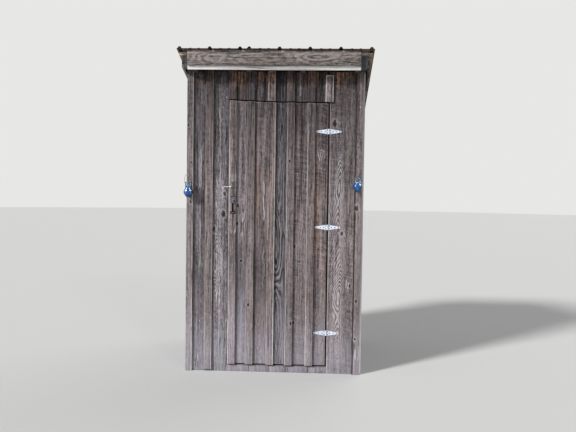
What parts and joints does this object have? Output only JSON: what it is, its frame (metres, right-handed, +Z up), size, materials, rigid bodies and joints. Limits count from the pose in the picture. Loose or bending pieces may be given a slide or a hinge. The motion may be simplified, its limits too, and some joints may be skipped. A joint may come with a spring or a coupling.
{
  "type": "wooden outhouse",
  "caption": "Small board-and-batten outhouse with a plank door on strap hinges, a ribbed metal shed roof and blue glass jars hung at the corners.",
  "frame": {"origin": "on the ground under the middle of the roof", "axes": "+X to the right as seen from the front, the door side faces -Y, +Z up"},
  "size_m": [1.488, 1.6606, 2.4972],
  "materials": {
    "weathered_boards": "rough sawn, weathered grey-brown",
    "shaded_boards": "rough sawn, darker under the eave",
    "weathered_battens": "rough sawn, weathered grey",
    "eave_boards": "weathered, bold grain",
    "pale_eave_board": "bleached, weathered",
    "frame_timber": "sawn, aged brown",
    "roof_metal": "dull dark grey sheet",
    "galvanised_steel": "bright galvanised",
    "dark_iron": "dark enamel, worn",
    "wire": "dull wire",
    "blue_glass": "cobalt blue, glossy"
  },
  "bodies": {
    "building": {"floor_rims": "frame_timber", "floor_joists": "frame_timber", "floor_boards": "frame_timber", "corner_posts": "frame_timber", "door_posts": "frame_timber", "wall_plates": "frame_timber", "door_header": "frame_timber", "wall_girts": "frame_timber", "left_front_boards": "weathered_boards", "hinge_side_board": "weathered_boards", "over_door_boards": "shaded_boards", "door_sill_board": "weathered_boards", "front_battens": "weathered_battens", "left_wall_boards": "weathered_boards", "left_wall_battens": "weathered_battens", "right_wall_boards": "weathered_boards", "right_wall_battens": "weathered_battens", "back_wall_boards": "weathered_boards", "back_wall_battens": "weathered_battens", "end_corner_boards": "weathered_battens", "side_corner_boards": "weathered_battens", "frieze_boards": "weathered_battens", "rafters": "frame_timber", "eave_blocks": "frame_timber", "sub_fascias": "frame_timber", "barge_boards": "eave_boards", "roof_sheathing": "frame_timber", "front_fascia": "eave_boards", "front_fascia_backer": "pale_eave_board", "back_fascia": "eave_boards", "left_roof_sheet": "roof_metal", "right_roof_sheet": "roof_metal", "hinge_wall_leaves": "galvanised_steel", "hinge_pins": "galvanised_steel", "latch_keeper": "galvanised_steel", "lantern_hangers": "wire", "lantern_jars": "blue_glass"},
    "door": {"door_boards": "weathered_boards", "door_battens": "weathered_battens", "door_ledges": "frame_timber", "door_braces": "frame_timber", "hinge_door_leaves": "galvanised_steel", "pull_handle": "dark_iron", "latch_pivot": "galvanised_steel"},
    "latch": {"latch_hook": "galvanised_steel"}
  },
  "joints": [
    {"name": "door_hinge", "type": "hinge", "parent": "building", "child": "door", "pos_m": [0.413, -0.67175, 0], "axis": [0, 0, 1], "range_deg": [0, 120]},
    {"name": "latch_swing", "type": "hinge", "parent": "door", "child": "latch", "pos_m": [-0.343, -0.696, 1.446], "axis": [0, 1, 0], "range_deg": [0, 110]}
  ]
}
